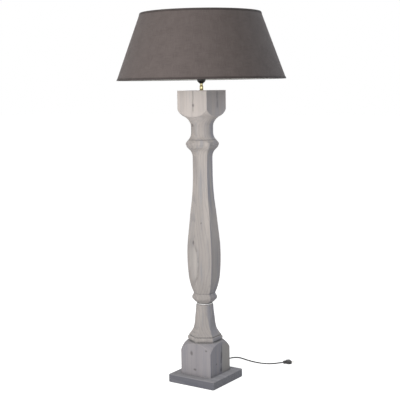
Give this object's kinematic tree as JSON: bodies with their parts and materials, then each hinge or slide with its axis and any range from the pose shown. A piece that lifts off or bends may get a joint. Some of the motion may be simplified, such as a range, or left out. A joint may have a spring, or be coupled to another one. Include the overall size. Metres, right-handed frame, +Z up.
{
  "type": "candlestick floor lamp",
  "caption": "Floor lamp: faceted baluster column of grey-washed timber on a square plinth, with a wide conical fabric shade and an in-line foot switch.",
  "frame": {"origin": "middle of the base's underside, on the column's axis, at floor level", "axes": "+Z up along the column, -Y the front face, +X the right-hand face; the cord leaves the back, towards +Y"},
  "size_m": [0.6999, 0.7638, 1.55],
  "materials": {
    "column_wood": "weathered grey wash, matt",
    "plinth_wood": "darker grey wash, matt",
    "dowel_wood": "plain beech",
    "felt": "felt",
    "zinc_steel": "zinc plated",
    "brass": "polished",
    "black_holder": "moulded black",
    "ceramic": "white ceramic",
    "nickel": "nickel plated",
    "bulb_glass": "frosted",
    "shade_fabric": "plain woven cotton-linen",
    "shade_hem": "turned-over hem of the same cloth",
    "shade_liner": "white laminated lining",
    "white_wire": "white powder coat",
    "black_plastic": "moulded black, satin",
    "strap": "woven black strap",
    "cord": "black PVC sheath"
  },
  "bodies": {
    "stand": {"bottom_nut": "zinc_steel", "bottom_washer": "zinc_steel", "brass_neck": "brass", "centre_contact": "brass", "coil_strap": "strap", "cord_coil": "cord", "cord_lead": "cord", "cord_link": "cord", "cord_run": "cord", "felt_pad_1": "felt", "felt_pad_2": "felt", "felt_pad_3": "felt", "felt_pad_4": "felt", "holder_cap": "black_holder", "holder_insulator": "ceramic", "holder_nut": "zinc_steel", "holder_skirt": "black_holder", "inner_lead": "cord", "inner_riser": "cord", "joint_disc": "zinc_steel", "lower_column": "column_wood", "plinth_back_board": "plinth_wood", "plinth_dowel_1": "dowel_wood", "plinth_dowel_2": "dowel_wood", "plinth_front_board": "plinth_wood", "plug_body": "black_plastic", "plug_pin_1": "nickel", "plug_pin_2": "nickel", "screw_shell": "nickel", "seat_ring": "black_holder", "strain_relief": "black_plastic", "switch_base": "black_plastic", "switch_contact": "brass", "switch_cover": "black_plastic", "tie_tube": "zinc_steel", "upper_column": "column_wood"},
    "shade": {"bottom_wire": "white_wire", "carrier_arm_1": "white_wire", "carrier_arm_2": "white_wire", "carrier_arm_3": "white_wire", "carrier_ring": "white_wire", "cover_seam": "shade_fabric", "hem_bottom": "shade_hem", "hem_top": "shade_hem", "shade_cover": "shade_fabric", "shade_liner": "shade_liner", "top_wire": "white_wire"},
    "lock_ring": {"lock_ring": "black_holder"},
    "bulb": {"bulb_cap": "nickel", "bulb_tip": "nickel", "bulb_glass": "bulb_glass"},
    "foot_button": {"switch_button": "black_plastic"}
  },
  "joints": [
    {"name": "shade_turn", "type": "hinge", "parent": "stand", "child": "shade", "pos_m": [0, 0, 1.312], "axis": [0, 0, 1], "continuous": true},
    {"name": "lock_ring_turn", "type": "hinge", "parent": "stand", "child": "lock_ring", "pos_m": [0, 0, 1.318], "axis": [0, 0, 1], "range_deg": [0, 1080]},
    {"name": "bulb_turn", "type": "hinge", "parent": "stand", "child": "bulb", "pos_m": [0, 0, 1.3], "axis": [0, 0, 1], "range_deg": [0, 1260]},
    {"name": "foot_button_press", "type": "slide", "parent": "stand", "child": "foot_button", "axis": [0, 0, -1], "range_m": [0, 0.0025], "stiffness_N_per_m": 900, "springref_m": -0.001}
  ]
}
